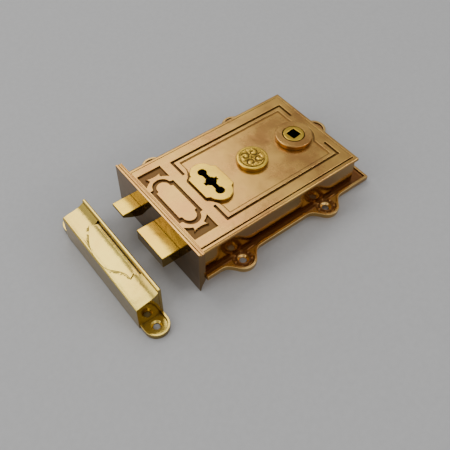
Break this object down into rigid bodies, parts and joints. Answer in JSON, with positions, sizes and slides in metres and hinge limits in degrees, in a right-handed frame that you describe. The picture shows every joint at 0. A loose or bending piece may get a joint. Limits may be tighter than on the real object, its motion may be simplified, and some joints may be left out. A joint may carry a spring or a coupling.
{
  "type": "rim night latch",
  "caption": "Ornamental cast-brass rim lock case with sprung latch, key-driven deadbolt, spindle follower and separate box keep.",
  "frame": {"origin": "spindle axis where it meets the mounting face, the underside of the back plate", "axes": "+X runs from the forend to the case's spindle end, +Y towards the latch bolt's side, +Z away from the door, out of the ornamental face"},
  "size_m": [0.2245, 0.132, 0.0473],
  "materials": {
    "case_brass": "polished, with brown patina in the recesses",
    "plate_brass": "patinated, with a polished rim",
    "forend_brass": "polished",
    "yellow_brass": "polished",
    "bolt_brass": "polished",
    "keep_brass": "bright polished",
    "steel": "bright",
    "spring_steel": "blued"
  },
  "bodies": {
    "case": {"case_cover": "case_brass", "back_plate": "plate_brass", "forend": "forend_brass", "forend_rivets": "forend_brass", "cover_screws": "steel", "keyhole_plate": "yellow_brass", "keyhole_plate_pins": "yellow_brass", "medallion": "yellow_brass", "medallion_pin": "yellow_brass", "spindle_rose": "case_brass", "lever_pivot": "steel", "latch_spring_stop": "yellow_brass", "latch_spring": "spring_steel", "bolt_spring": "spring_steel"},
    "follower": {"follower": "yellow_brass"},
    "latch": {"latch_head": "bolt_brass", "latch_tail": "steel", "latch_tail_rivets": "steel", "latch_spring_rod": "steel"},
    "deadbolt": {"deadbolt_head": "bolt_brass", "deadbolt_plate": "yellow_brass", "deadbolt_rivets": "steel", "bolt_stump": "yellow_brass"},
    "lever_a": {"lever_1": "yellow_brass", "lever_spring_1": "spring_steel"},
    "lever_b": {"lever_2": "yellow_brass", "lever_spring_2": "spring_steel"},
    "lever_c": {"lever_3": "yellow_brass", "lever_spring_3": "spring_steel"},
    "keep": {"keep_box": "keep_brass", "keep_lip": "keep_brass"}
  },
  "joints": [
    {"name": "latch_slide", "type": "slide", "parent": "case", "child": "latch", "axis": [1, 0, 0], "range_m": [0, 0.014], "stiffness_N_per_m": 400, "springref_m": -0.006, "deforming": ["latch_spring"]},
    {"name": "follower_turn", "type": "hinge", "parent": "case", "child": "follower", "pos_m": [0, 0, 0], "axis": [0, 0, 1], "range_deg": [-35, 0]},
    {"name": "deadbolt_slide", "type": "slide", "parent": "case", "child": "deadbolt", "axis": [1, 0, 0], "range_m": [0, 0.014]},
    {"name": "lever_a_lift", "type": "hinge", "parent": "case", "child": "lever_a", "pos_m": [-0.052, -0.017, 0.008], "axis": [0, 0, 1], "range_deg": [-6, 0]},
    {"name": "lever_b_lift", "type": "hinge", "parent": "case", "child": "lever_b", "pos_m": [-0.052, -0.017, 0.0103], "axis": [0, 0, 1], "range_deg": [-6, 0]},
    {"name": "lever_c_lift", "type": "hinge", "parent": "case", "child": "lever_c", "pos_m": [-0.052, -0.017, 0.0126], "axis": [0, 0, 1], "range_deg": [-6, 0]},
    {"name": "keep_offer_up", "type": "slide", "parent": "case", "child": "keep", "axis": [0.8976, 0, 0.4409], "range_m": [0, 0.03175]}
  ],
  "couplings": [
    {"joint": "follower_turn", "follows": "latch_slide", "rad_per_m": -43.6}
  ]
}
